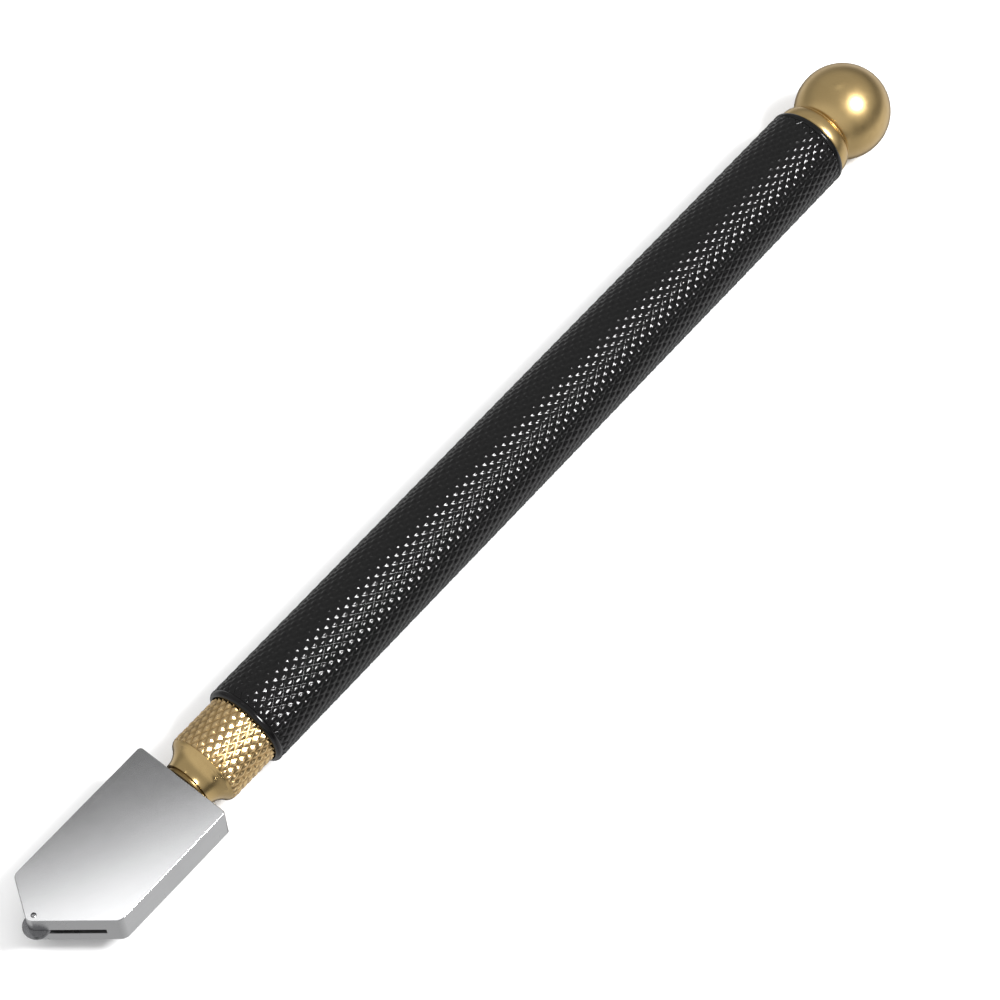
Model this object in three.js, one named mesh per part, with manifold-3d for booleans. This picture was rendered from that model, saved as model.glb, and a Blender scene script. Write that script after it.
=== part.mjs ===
// Oil-feed glass cutter with a knurled metal barrel, a wide steel head and a brass ball cap.
// Millimetres, +Z up. The handle lies along X, from the cutting wheel (-X) to the ball (+X), and the
// head's polished face looks up. The origin is on the surface that the ball rests on, under the middle.
// Along the handle, every x below is counted from the barrel's lower end until the last lines.
import * as THREE from "three";
import { mergeVertices } from "three/addons/utils/BufferGeometryUtils.js";
import Module from "manifold-3d";

const wasm = await Module();
wasm.setup();

// ---- Driving dimensions -------------------------------------------------------------------------

// Barrel: a tube that holds the oil
const barrelLength = 121;
const barrelRadius = 6.25;
const barrelWall = 1.3;
const barrelEdge = 0.55; // rounding of both rims

// Ferrule: the knurled brass nose that screws into the barrel
const noseLip = 0.6; // barrel wall left around the ferrule's seat
const lipGap = 0.15; // dark gap between that lip and the ferrule
const ferruleReach = 10.85; // how far the nose stands out of the barrel
const knurlReach = 7.9; // how far its knurled band stands out
const ferruleSeatDepth = 0.85;
const noseRim = 0.3; // wall around the neck at the nose's front
const noseKnee = 0.35; // small chamfer between the knurl and the concave nose
const spigotLength = 9;
const spigotWall = 0.5;
const sealThickness = 0.65;

// Brass bushes in the ends of the barrel
const bushWall = 0.5;
const bushLength = 9;
const collarHeight = 2.3;
const collarBulge = 0.2; // how far the collar swells past its foot
const collarTaper = 0.25; // how far its top falls short of its foot

// Ball cap
const ballRadius = 6.97;
const capShankRadius = 3;
const capShankLength = 7;
const capSealThickness = 0.7;
const ballSeatInset = 0.97; // the ball meets the collar this far inside its rim
const capSealInset = 0.2; // the seal ends this far inside the ball's foot

// Head: a flat steel block with a pointed end
const headWidth = 15.15;
const headThickness = 5.6;
const headShortSide = 19.8; // from the top edge to the lower corner of the point
const headLongSide = 23.85; // from the top edge to the upper corner of the point
const headLength = 27.55; // from the top edge to the tip
const tipOffset = 1.8; // the tip stands this far to the long side of the middle
const headBevel = 0.2;
const cornerRadii = { top: 0.6, topShort: 0.4, short: 1.4, tip: 0.9, long: 1 };
const headGap = 0.55; // open space between the head and the nose at rest
const headBoreDepth = 6.1;

// Wheel, its axle and its slot
const wheelRadius = 1.95;
const wheelThickness = 0.95;
const wheelEdgeAngle = 140; // degrees across the cutting edge
const axleRadius = 0.36;
const axleFromBase = 0.87; // from the edge that the slot runs along
const axleFromSide = 1.12; // from the other edge of the point
const axleRecess = 0.1;
const slotLength = 9.95;
const slotWidth = 1.1;
const slotSetBack = 0.4; // the slot lies this far behind the head's mid-plane
const ductRadius = 0.75;

// Stem and valve
const stemRadius = 1.9;
const stemThreadRadius = 2.2;
const neckRadius = 3.35;
const neckHeight = 1.05;
const stemShoulder = 0.6; // step down to the part that carries the valve washer
const stemDuctRadius = 0.5;
const crossHoleRadius = 0.4;
const crossHoleX = -3;
const sealGland = { from: -6.2, to: -4.6, depth: 1.4 };
const gallery = { from: -3.6, to: -2.4, depth: 0.5 };
const chamberFloor = -1;
const valveSealThickness = 0.7;
const washerThickness = 0.7;
const clipThickness = 0.5;
const clipWidth = 1.1;
const clipDepth = 0.4; // how deep the clip sits in the stem
const clipMouth = 80; // degrees of the clip's opening
const springWire = 0.25;
const springTurns = 5;
const retainerThickness = 2.2;
const retainerHole = 1.5;
const retainerSlot = 0.8;
const pressStroke = 0.4; // how far the head moves in to open the valve
const wickRadius = 0.43;

// Clearances
const runningGap = 0.06; // round a piece that turns or slides
const fixedGap = 0.03; // round a piece that is pressed or screwed home
const faceGap = 0.05; // between faces that meet
const sides = 40;
const fineSides = 24;
const tinySides = 20;

// ---- Sizes that follow --------------------------------------------------------------------------

const boreRadius = barrelRadius - barrelWall;
const ferruleRadius = barrelRadius - noseLip - lipGap;
const ferruleSeatRadius = ferruleRadius + lipGap;
const ferruleSeatEnd = ferruleSeatDepth + sealThickness + 2 * faceGap;
const bushRadius = boreRadius - fixedGap;
const spigotRadius = bushRadius - bushWall - runningGap;
const chamberRadius = spigotRadius - spigotWall;
const noseFront = -ferruleReach;
const neckSeatRadius = neckRadius + 1.5 * runningGap;
const noseFrontRadius = neckSeatRadius + noseRim;
const headTop = noseFront - headGap;
const neckTop = headTop + neckHeight;
const neckSeatEnd = neckTop + pressStroke + headGap;
const stemBoreRadius = stemRadius + runningGap;
const valveSealTop = chamberFloor + faceGap + valveSealThickness;
const shoulderX = valveSealTop + faceGap;
const washerTop = shoulderX + washerThickness;
const clipX = washerTop + 2 * faceGap;
const stemTip = clipX + clipThickness + 0.9;
const stemTopRadius = stemRadius - stemShoulder;
const valveRadius = chamberRadius - 0.25;
const springRadius = chamberRadius - 0.2 - springWire;
const retainerX = spigotLength - retainerThickness - 0.5;
const collarFootRadius = barrelRadius - barrelEdge;
const collarTopRadius = collarFootRadius - collarTaper;
const collarX = barrelLength + 0.5 * faceGap;
const collarTop = collarX + collarHeight;
const ballSeatX = collarTop + 2 * faceGap;
const ballSeatRadius = collarTopRadius - ballSeatInset;
const capSealRadius = ballSeatRadius - capSealInset;
const ballX = ballSeatX + Math.sqrt(ballRadius ** 2 - ballSeatRadius ** 2);

// The head's corners in its own plane, x from the top edge and y from the handle's axis
const corner = {
  topLong: new THREE.Vector2(0, headWidth / 2),
  long: new THREE.Vector2(-headLongSide, headWidth / 2),
  tip: new THREE.Vector2(-headLength, tipOffset),
  short: new THREE.Vector2(-headShortSide, -headWidth / 2),
  topShort: new THREE.Vector2(0, -headWidth / 2),
};
const baseWay = corner.short.clone().sub(corner.tip).normalize(); // from the tip along the slotted edge
const sideWay = corner.long.clone().sub(corner.tip).normalize(); // from the tip along the other edge
const tipSine = Math.abs(baseWay.cross(sideWay));
const axlePlace = corner.tip
  .clone()
  .addScaledVector(baseWay, axleFromSide / tipSine)
  .addScaledVector(sideWay, axleFromBase / tipSine);
const slotDepth = axleFromBase + wheelRadius + 0.25;

// ---- Shape helpers ------------------------------------------------------------------------------

const degrees = THREE.MathUtils.degToRad;

// Points of a round stretch of a profile, as [x, radius] pairs.
function arc(x, r, radius, from, to, steps) {
  return Array.from({ length: steps + 1 }, (_, i) => {
    const angle = degrees(from + ((to - from) * i) / steps);
    return [x + radius * Math.cos(angle), r + radius * Math.sin(angle)];
  });
}

// A turned piece about X. The profile is a list of [x, radius] pairs, which closes on itself or on the axis.
function turned(profile, count = sides) {
  const points = profile.map(([x, r]) => new THREE.Vector2(Math.max(r, 0), x));
  const hollow = points.every((p) => p.x > 0);
  if (THREE.ShapeUtils.area(points) < 0) points.reverse();
  if (hollow) points.push(points[0].clone());
  return new THREE.LatheGeometry(points, count).rotateZ(-Math.PI / 2);
}

// A plain ring about X.
function ring(from, to, inner, outer, count = sides) {
  return turned([[from, inner], [to, inner], [to, outer], [from, outer]], count);
}

// A round bar about X, used as a cutter.
function bar(from, to, radius, count = tinySides) {
  return new THREE.CylinderGeometry(radius, radius, to - from, count)
    .rotateZ(-Math.PI / 2)
    .translate((from + to) / 2, 0, 0);
}

function solidOf(geometry) {
  const bare = geometry.index ? geometry.toNonIndexed() : geometry.clone();
  bare.deleteAttribute("normal");
  bare.deleteAttribute("uv");
  const merged = mergeVertices(bare, 1e-4);
  return new wasm.Manifold(
    new wasm.Mesh({
      numProp: 3,
      vertProperties: merged.attributes.position.array,
      triVerts: new Uint32Array(merged.index.array),
    }),
  );
}

// The geometry with every cutter taken out of it.
function cut(geometry, ...cutters) {
  const made = cutters.reduce((rest, cutter) => rest.subtract(solidOf(cutter)), solidOf(geometry));
  const mesh = made.getMesh();
  return new THREE.BufferGeometry()
    .setAttribute("position", new THREE.BufferAttribute(mesh.vertProperties, 3))
    .setIndex(new THREE.BufferAttribute(mesh.triVerts, 1));
}

// A closed outline whose corners are rounded, each by its own radius.
function roundedOutline(corners) {
  const shape = new THREE.Shape();
  corners.forEach(({ at, radius }, i) => {
    const before = corners.at(i - 1).at.clone().sub(at).normalize();
    const after = corners[(i + 1) % corners.length].at.clone().sub(at).normalize();
    const half = before.angleTo(after) / 2;
    const centre = before.clone().add(after).normalize().multiplyScalar(radius / Math.sin(half)).add(at);
    const start = at.clone().addScaledVector(before, radius / Math.tan(half)).sub(centre);
    const end = at.clone().addScaledVector(after, radius / Math.tan(half)).sub(centre);
    shape.absarc(centre.x, centre.y, radius, start.angle(), end.angle(), start.cross(end) < 0);
  });
  return shape;
}

// ---- Pieces of the handle -----------------------------------------------------------------------

function gripBarrel() {
  const far = barrelLength - barrelEdge;
  const rim = barrelRadius - barrelEdge;
  return turned([
    ...arc(barrelEdge, rim, barrelEdge, 180, 90, 4),
    ...arc(far, rim, barrelEdge, 90, 0, 4),
    [barrelLength, boreRadius],
    [ferruleSeatEnd, boreRadius],
    [ferruleSeatEnd, ferruleSeatRadius],
    [0, ferruleSeatRadius],
  ]);
}

function threadBush() {
  const from = ferruleSeatEnd + 0.4;
  return ring(from, from + bushLength, spigotRadius + runningGap, bushRadius);
}

function endBush() {
  const bore = capShankRadius + runningGap;
  const mid = collarX + collarHeight / 2;
  const swell = Array.from({ length: 9 }, (_, i) => {
    const t = i / 8;
    const x = collarX + collarHeight * t;
    const foot = collarFootRadius - collarTaper * t ** 2;
    return [x, foot + collarBulge * Math.sqrt(Math.max(0, 1 - ((x - mid) / (collarHeight / 2)) ** 2))];
  });
  return turned([
    [barrelLength - bushLength, bore],
    [barrelLength - bushLength, bushRadius],
    [collarX, bushRadius],
    ...swell,
    [collarTop, capSealRadius + fixedGap],
    [collarTop - capSealThickness, capSealRadius + fixedGap],
    [collarTop - capSealThickness, bore],
  ]);
}

// ---- Ball cap -----------------------------------------------------------------------------------

function capSeal() {
  const inner = capShankRadius + 1.5 * runningGap;
  return ring(collarTop - capSealThickness + faceGap, collarTop + faceGap, inner, capSealRadius);
}

function ballCap() {
  const seatAngle = 180 - THREE.MathUtils.radToDeg(Math.asin(ballSeatRadius / ballRadius));
  const shankEnd = ballSeatX - capShankLength;
  return turned([
    [shankEnd, 0],
    [shankEnd, capShankRadius - 0.5],
    [shankEnd + 0.5, capShankRadius],
    [ballSeatX, capShankRadius],
    ...arc(ballX, 0, ballRadius, seatAngle, 90, 5),
    ...arc(ballX, 0, ballRadius, 90, 0, 10).slice(1),
  ]);
}

// ---- Nose: ferrule, seals and valve spring ------------------------------------------------------

function noseFerrule() {
  const kneeX = -knurlReach - noseKnee;
  const rise = ferruleRadius - noseKnee - noseFrontRadius;
  const run = kneeX - noseFront;
  const sweep = (run ** 2 + rise ** 2) / (2 * rise); // radius of the concave nose
  const turn = THREE.MathUtils.radToDeg(Math.asin(run / sweep));
  return turned([
    ...arc(noseFront, noseFrontRadius + sweep, sweep, -90, -90 + turn, 8),
    [-knurlReach, ferruleRadius],
    [ferruleSeatDepth, ferruleRadius],
    [ferruleSeatDepth, spigotRadius],
    [spigotLength, spigotRadius],
    [spigotLength, chamberRadius],
    [chamberFloor, chamberRadius],
    [chamberFloor, stemBoreRadius],
    [gallery.to, stemBoreRadius],
    [gallery.to, stemBoreRadius + gallery.depth],
    [gallery.from, stemBoreRadius + gallery.depth],
    [gallery.from, stemBoreRadius],
    [sealGland.to, stemBoreRadius],
    [sealGland.to, stemBoreRadius + sealGland.depth],
    [sealGland.from, stemBoreRadius + sealGland.depth],
    [sealGland.from, stemBoreRadius],
    [neckSeatEnd, stemBoreRadius],
    [neckSeatEnd, neckSeatRadius],
    [noseFront, neckSeatRadius],
  ]);
}

function ferruleSeal() {
  const from = ferruleSeatDepth + faceGap;
  return ring(from, from + sealThickness, spigotRadius + 1.5 * runningGap, ferruleRadius);
}

// A rubber ring of round section that seals the stem.
function stemSeal() {
  const section = (sealGland.depth - 2 * fixedGap) / 2;
  const middle = (sealGland.from + sealGland.to) / 2;
  const radius = stemBoreRadius + sealGland.depth / 2;
  return turned(arc(middle, radius, section, 0, 324, 9), fineSides);
}

function valveSeal() {
  return ring(chamberFloor + faceGap, valveSealTop, stemBoreRadius, valveRadius, fineSides);
}

function springRetainer() {
  const body = ring(retainerX, retainerX + retainerThickness, retainerHole, chamberRadius - fixedGap);
  const slot = new THREE.BoxGeometry(2 * retainerSlot, retainerSlot, 3 * chamberRadius);
  return cut(body, slot.translate(retainerX + retainerThickness, 0, 0));
}

class Helix extends THREE.Curve {
  constructor(from, to, radius, turns) {
    super();
    Object.assign(this, { from, to, radius, turns });
  }
  getPoint(t, target = new THREE.Vector3()) {
    const angle = 2 * Math.PI * this.turns * t;
    const x = this.from + (this.to - this.from) * t;
    return target.set(x, this.radius * Math.cos(angle), this.radius * Math.sin(angle));
  }
}

function returnSpring() {
  const from = washerTop + faceGap + 1.2 * springWire;
  const to = retainerX - faceGap - 1.2 * springWire;
  const wire = new THREE.Shape().absarc(0, 0, springWire, 0, 2 * Math.PI, false);
  return new THREE.ExtrudeGeometry(wire, {
    extrudePath: new Helix(from, to, springRadius, springTurns),
    steps: 12 * springTurns,
    curveSegments: 3,
  });
}

function valveWasher() {
  return ring(shoulderX, washerTop, stemTopRadius + runningGap, valveRadius, fineSides);
}

// ---- Head assembly ------------------------------------------------------------------------------

// Made in the head's own place: x from its top edge, z from its mid-plane.
function cutterHead() {
  const outline = roundedOutline([
    { at: corner.topLong, radius: cornerRadii.top },
    { at: corner.long, radius: cornerRadii.long },
    { at: corner.tip, radius: cornerRadii.tip },
    { at: corner.short, radius: cornerRadii.short },
    { at: corner.topShort, radius: cornerRadii.topShort },
  ]);
  const block = new THREE.ExtrudeGeometry(outline, {
    depth: headThickness - 2 * headBevel,
    bevelSize: headBevel,
    bevelThickness: headBevel,
    bevelOffset: -headBevel,
    bevelSegments: 1,
    curveSegments: 6,
  }).translate(0, 0, headBevel - headThickness / 2);
  const overrun = 4; // the cutter starts this far outside the tip
  const slot = new THREE.BoxGeometry(slotLength + overrun, 2 * slotDepth, slotWidth)
    .translate((slotLength - overrun) / 2, 0, 0)
    .rotateZ(baseWay.angle())
    .translate(corner.tip.x, corner.tip.y, -slotSetBack);
  const ductEnd = axlePlace.x + wheelRadius + 0.6;
  const axleHole = new THREE.CylinderGeometry(1, 1, 2 * headThickness, tinySides)
    .scale(axleRadius + fixedGap, 1, axleRadius + fixedGap)
    .rotateX(Math.PI / 2)
    .translate(axlePlace.x, axlePlace.y, 0);
  const stemBore = bar(-headBoreDepth, 1, stemThreadRadius + fixedGap, fineSides);
  return cut(block, slot, axleHole, stemBore, bar(ductEnd, -headBoreDepth + 1, ductRadius));
}

function headStem() {
  const foot = headTop - headBoreDepth + 0.2;
  const neckFoot = headTop + faceGap;
  const body = turned(
    [
      [foot, 0],
      [foot, stemThreadRadius],
      [neckFoot, stemThreadRadius],
      [neckFoot, neckRadius],
      [neckTop, neckRadius],
      [neckTop, stemRadius],
      [shoulderX, stemRadius],
      [shoulderX, stemTopRadius],
      [clipX - 0.5 * faceGap, stemTopRadius],
      [clipX - 0.5 * faceGap, stemTopRadius - clipDepth],
      [clipX + clipThickness + 0.5 * faceGap, stemTopRadius - clipDepth],
      [clipX + clipThickness + 0.5 * faceGap, stemTopRadius],
      [stemTip - 0.3, stemTopRadius],
      [stemTip, stemTopRadius - 0.3],
      [stemTip, 0],
    ],
    fineSides,
  );
  const crossHole = new THREE.CylinderGeometry(crossHoleRadius, crossHoleRadius, 3 * stemRadius, 12)
    .rotateX(Math.PI / 2)
    .translate(crossHoleX, 0, 0);
  return cut(body, bar(foot - 1, crossHoleX + crossHoleRadius, stemDuctRadius), crossHole);
}

// A spring clip in the stem's groove, open on one side.
function stemClip() {
  const inner = stemTopRadius - clipDepth + fixedGap;
  const outer = inner + clipWidth;
  const from = degrees(clipMouth / 2);
  const to = 2 * Math.PI - from;
  const shape = new THREE.Shape();
  shape.absarc(0, 0, outer, from, to, false);
  shape.absarc(0, 0, inner, to, from, true);
  return new THREE.ExtrudeGeometry(shape, {
    depth: clipThickness,
    bevelEnabled: false,
    curveSegments: 20,
  })
    .rotateY(Math.PI / 2)
    .translate(clipX, 0, 0);
}

function oilWick() {
  const from = headTop + axlePlace.x + wheelRadius + 1.2;
  return bar(from, crossHoleX - crossHoleRadius - 0.6, wickRadius, 12);
}

function wheelAxle() {
  return new THREE.CylinderGeometry(axleRadius, axleRadius, headThickness - 2 * axleRecess, tinySides)
    .rotateX(Math.PI / 2);
}

// The wheel about Z, with its V-shaped cutting edge.
function cuttingWheel() {
  const half = wheelThickness / 2;
  const edge = half / Math.tan(degrees(wheelEdgeAngle / 2));
  const bore = axleRadius + runningGap;
  return turned([
    [-half, bore],
    [-half, wheelRadius - edge],
    [0, wheelRadius],
    [half, wheelRadius - edge],
    [half, bore],
  ]).rotateY(-Math.PI / 2);
}

// ---- Materials and assembly ---------------------------------------------------------------------

function finish(color, roughness, metalness) {
  return new THREE.MeshStandardMaterial({ color, roughness, metalness });
}
const blackEnamel = finish(0x0b0b0c, 0.28, 0.3);
const brass = finish(0xc09a5a, 0.24, 1);
const steel = finish(0xc9cacc, 0.16, 1);
const carbide = finish(0x6d6e70, 0.3, 1);
const springSteel = finish(0x9a9a98, 0.3, 1);
const rubber = finish(0x151515, 0.6, 0);
const cotton = finish(0xe6e0d0, 0.95, 0);

function place(parent, pieces) {
  for (const [name, geometry, material] of pieces) {
    const mesh = new THREE.Mesh(geometry, material.clone());
    mesh.name = name;
    parent.add(mesh);
  }
}

const cutter = new THREE.Group();
const handle = new THREE.Group();
const nose = new THREE.Group();
const headAssembly = new THREE.Group();
const headPlace = new THREE.Group();
const wheelPlace = new THREE.Group();
const cap = new THREE.Group();
cutter.add(handle);
handle.add(nose, cap);
nose.add(headAssembly);
headAssembly.add(headPlace);
headPlace.add(wheelPlace);
headPlace.position.x = headTop;
wheelPlace.position.set(axlePlace.x, axlePlace.y, 0);

place(handle, [
  ["grip_barrel", gripBarrel(), blackEnamel],
  ["thread_bush", threadBush(), brass],
  ["end_bush", endBush(), brass],
]);
place(cap, [
  ["cap_seal", capSeal(), rubber],
  ["ball_cap", ballCap(), brass],
]);
place(nose, [
  ["ferrule_seal", ferruleSeal(), rubber],
  ["nose_ferrule", noseFerrule(), brass],
  ["stem_seal", stemSeal(), rubber],
  ["valve_seal", valveSeal(), rubber],
  ["return_spring", returnSpring(), springSteel],
  ["spring_retainer", springRetainer(), brass],
]);
place(headAssembly, [
  ["valve_washer", valveWasher(), springSteel],
  ["head_stem", headStem(), brass],
  ["stem_clip", stemClip(), springSteel],
  ["oil_wick", oilWick(), cotton],
]);
place(headPlace, [["cutter_head", cutterHead(), steel]]);
place(wheelPlace, [
  ["wheel_axle", wheelAxle(), springSteel],
  ["cutting_wheel", cuttingWheel().translate(0, 0, -slotSetBack), carbide],
]);

// The whole cutter is moved so that the ball rests on z = 0, with the origin under the middle.
const wheelEnd = headTop + axlePlace.x - wheelRadius;
const ballEnd = ballX + ballRadius;
handle.position.set(-(wheelEnd + ballEnd) / 2, 0, Math.max(ballRadius, barrelRadius));

export default cutter;
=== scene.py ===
"""Oil-feed glass cutter: the finished surfaces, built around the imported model."""

import math
from contextlib import contextmanager

import bmesh
import bpy
from bpy.props import FloatProperty, FloatVectorProperty, IntProperty, PointerProperty
from mathutils import Matrix, Vector


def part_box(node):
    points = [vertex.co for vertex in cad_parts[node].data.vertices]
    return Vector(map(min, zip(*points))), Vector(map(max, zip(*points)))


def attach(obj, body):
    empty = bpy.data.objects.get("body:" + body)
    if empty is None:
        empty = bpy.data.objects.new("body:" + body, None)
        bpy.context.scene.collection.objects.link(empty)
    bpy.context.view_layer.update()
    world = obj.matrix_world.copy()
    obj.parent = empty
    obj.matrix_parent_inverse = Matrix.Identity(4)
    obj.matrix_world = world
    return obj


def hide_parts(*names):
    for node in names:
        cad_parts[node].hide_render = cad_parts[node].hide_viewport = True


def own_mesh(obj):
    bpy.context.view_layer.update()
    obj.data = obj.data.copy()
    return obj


bl_info = {
    "name": "Glass Cutter",
    "version": (1, 0, 0),
    "blender": (4, 5, 0),
    "location": "View3D > Sidebar > Cutter",
    "description": "Builds a knurled oil-feed glass cutter, piece by piece, around its packed model",
    "category": "Add Mesh",
}

MM = 0.001
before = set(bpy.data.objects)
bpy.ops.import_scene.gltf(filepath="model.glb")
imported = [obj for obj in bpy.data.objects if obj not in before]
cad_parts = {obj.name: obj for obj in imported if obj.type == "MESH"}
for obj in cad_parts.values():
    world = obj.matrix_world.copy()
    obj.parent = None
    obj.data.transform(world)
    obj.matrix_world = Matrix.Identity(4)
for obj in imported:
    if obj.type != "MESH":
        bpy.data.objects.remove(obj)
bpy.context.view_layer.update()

BARREL_LOW, BARREL_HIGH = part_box("grip_barrel")
HEAD_LOW, HEAD_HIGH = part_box("cutter_head")
FERRULE_LOW, FERRULE_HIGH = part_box("nose_ferrule")
WHEEL_LOW, WHEEL_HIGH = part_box("cutting_wheel")
AXLE_LOW, AXLE_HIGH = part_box("wheel_axle")
BUSH_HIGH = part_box("end_bush")[1]
CAP_LOW, CAP_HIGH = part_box("ball_cap")
SPRING_LOW, SPRING_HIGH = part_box("return_spring")

AXIS_Z = (BARREL_LOW.z + BARREL_HIGH.z) / 2  # height of the handle's axis
BARREL_X = BARREL_LOW.x  # the barrel's lower end, which every x along the handle is counted from
BARREL_LENGTH = BARREL_HIGH.x - BARREL_LOW.x
BARREL_RADIUS = (BARREL_HIGH.z - BARREL_LOW.z) / 2
FERRULE_RADIUS = (FERRULE_HIGH.z - FERRULE_LOW.z) / 2
BALL_RADIUS = (CAP_HIGH.z - CAP_LOW.z) / 2
HEAD_TOP = HEAD_HIGH.x
BALL_SEAT_X = BUSH_HIGH.x + 0.1 * MM  # the ball starts just clear of the collar
BALL_FOOT = math.sqrt(BALL_RADIUS ** 2 - (CAP_HIGH.x - BALL_RADIUS - BALL_SEAT_X) ** 2)
WHEEL_CENTRE = (WHEEL_LOW + WHEEL_HIGH) / 2


# ---- What a user would change --------------------------------------------------------------------


def length(name, description, mm):
    return FloatProperty(name=name, description=description, default=mm * MM, unit="LENGTH")


def colour(name, description, rgb):
    return FloatVectorProperty(name=name, description=description, default=rgb, subtype="COLOR")


class CutterSizes(bpy.types.PropertyGroup):
    grip_starts: IntProperty(name="Grip Starts", description="Knurl grooves round the barrel", default=30)
    grip_rows: IntProperty(name="Grip Rows", description="Rows of diamonds along the barrel", default=59)
    grip_depth: length("Grip Depth", "Depth of the barrel's knurl", 0.2)
    grip_band: length("Grip Band", "Smooth band at each end of the barrel", 0.95)
    grip_rim: length("Grip Rim", "Rounding of the barrel's rims", 0.55)
    nose_starts: IntProperty(name="Nose Starts", description="Knurl grooves round the ferrule", default=30)
    nose_rows: IntProperty(name="Nose Rows", description="Rows of diamonds along the ferrule", default=4)
    nose_depth: length("Nose Depth", "Depth of the ferrule's knurl", 0.24)
    thread_pitch: length("Thread Pitch", "Pitch of both screw threads", 1.0)
    thread_depth: length("Thread Depth", "Depth of the cap's screw thread", 0.34)
    spigot_depth: length("Spigot Depth", "Depth of the thread on the nose's thin-walled spigot", 0.2)
    head_bevel: length("Head Bevel", "Bevel round the head's upper face", 0.1)
    head_break: length("Head Break", "Broken edge round the head's lower face", 0.06)
    spring_wire: length("Spring Wire", "Thickness of the return spring's wire", 0.5)
    spring_turns: IntProperty(name="Spring Turns", description="Turns of the return spring", default=5)


class CutterFinishes(bpy.types.PropertyGroup):
    enamel: colour("Enamel", "Black finish of the barrel", (0.0018, 0.0018, 0.0019))
    brass: colour("Brass", "Polished brass", (0.62, 0.45, 0.205))
    brass_deep: colour("Deep Brass", "Brass in grooves and where it has dulled", (0.36, 0.22, 0.085))
    # Darker, duller brass for the stem, whose neck shows in the narrow gap between the nose and the head
    brass_oiled: colour("Oiled Brass", "Brass stained by cutting oil", (0.27, 0.185, 0.075))
    brass_cut: colour("Cut Brass", "Bright brass on the crests of the nose's knurl", (0.86, 0.63, 0.33))
    # Painted shade: darker brown brass that goes into the grooves of the nose's knurl, where shade falls
    brass_groove: colour("Groove Brass", "Brass in the grooves of the nose's knurl", (0.50, 0.33, 0.14))
    steel: colour("Steel", "Polished steel of the head", (0.56, 0.562, 0.568))
    carbide: colour("Carbide", "The cutting wheel", (0.20, 0.20, 0.21))
    rubber: colour("Rubber", "Seals", (0.012, 0.012, 0.013))
    cotton: colour("Cotton", "The wick", (0.70, 0.62, 0.44))
    floor: colour("Floor", "The surface under the cutter", (0.93, 0.93, 0.93))


# ---- Shaping helpers -----------------------------------------------------------------------------


def along(x_mm, radius_mm):
    """A point of a profile, in millimetres from the barrel's lower end and from the axis."""
    return (BARREL_X + x_mm * MM, radius_mm * MM)


def arc(x, r, radius, start, end, steps):
    """Points of a round stretch of a profile, in millimetres and degrees."""
    turn = [math.radians(start + (end - start) * i / steps) for i in range(steps + 1)]
    return [along(x + radius * math.cos(a), r + radius * math.sin(a)) for a in turn]


def clear_selection():
    if bpy.context.object and bpy.context.object.mode != "OBJECT":
        bpy.ops.object.mode_set(mode="OBJECT")
    bpy.ops.object.select_all(action="DESELECT")


@contextmanager
def editing(piece, mode="EDGE"):
    """Edit mode on one piece, with nothing selected at the start."""
    clear_selection()
    piece.select_set(True)
    bpy.context.view_layer.objects.active = piece
    bpy.ops.object.mode_set(mode="EDIT")
    bpy.ops.mesh.select_mode(type=mode)
    bpy.ops.mesh.select_all(action="DESELECT")
    yield piece
    bpy.ops.object.mode_set(mode="OBJECT")


def select_where(piece, kind, test):
    """Selects the vertices, edges or faces that pass a test, and nothing else."""
    bpy.ops.mesh.select_all(action="DESELECT")
    mesh = bmesh.from_edit_mesh(piece.data)
    for element in getattr(mesh, kind):
        if test(element):
            element.select_set(True)
    mesh.select_flush_mode()
    bmesh.update_edit_mesh(piece.data)


def named(name):
    """The new primitive, under its own name."""
    piece = bpy.context.object
    piece.name = piece.data.name = name
    return piece


def apply_modifier(piece, kind, **settings):
    clear_selection()
    piece.select_set(True)
    bpy.context.view_layer.objects.active = piece
    modifier = piece.modifiers.new(kind.title(), kind)
    for key, value in settings.items():
        setattr(modifier, key, value)
    bpy.ops.object.modifier_apply(modifier=modifier.name)
    return piece


def settle(piece):
    """Puts the object's place into its mesh."""
    clear_selection()
    piece.select_set(True)
    bpy.context.view_layer.objects.active = piece
    bpy.ops.object.transform_apply(location=True, rotation=True, scale=True)
    return piece


def tidy_shell(piece, merge=1e-6):
    with editing(piece, "VERT"):
        bpy.ops.mesh.select_all(action="SELECT")
        bpy.ops.mesh.remove_doubles(threshold=merge)
        bpy.ops.mesh.normals_make_consistent(inside=False)
    return piece


def smooth(piece, angle=35):
    clear_selection()
    piece.select_set(True)
    bpy.context.view_layer.objects.active = piece
    bpy.ops.object.shade_smooth_by_angle(angle=math.radians(angle))
    return piece


def turned(name, profile, steps=144, axis="X", break_edges=0.05 * MM, closed=True):
    """Extrudes a profile point by point and spins it round the axis."""
    clear_selection()
    bpy.ops.mesh.primitive_plane_add(size=MM, location=(0, 0, 0))
    piece = named(name)
    points = [Vector((x, 0, r)) for x, r in profile]
    if closed and profile[0] != profile[-1]:
        points.append(points[0])
    with editing(piece, "VERT"):
        bpy.ops.mesh.select_all(action="SELECT")
        bpy.ops.mesh.merge(type="CENTER")
        bpy.ops.mesh.select_all(action="SELECT")
        bpy.ops.transform.translate(value=points[0])
        for before, after in zip(points, points[1:]):
            bpy.ops.mesh.extrude_region_move(TRANSFORM_OT_translate={"value": after - before})
        bpy.ops.mesh.select_all(action="SELECT")
        bpy.ops.mesh.spin(steps=steps, angle=2 * math.pi, center=(0, 0, 0), axis=(1, 0, 0))
    tidy_shell(piece)
    if break_edges:
        apply_modifier(piece, "BEVEL", width=break_edges, segments=2, limit_method="ANGLE",
                       angle_limit=math.radians(32), use_clamp_overlap=True)
    if axis == "X":
        piece.location.z = AXIS_Z
    else:
        piece.rotation_euler = (0, -math.pi / 2, 0)
        piece.location = axis
    return smooth(settle(piece))


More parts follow.
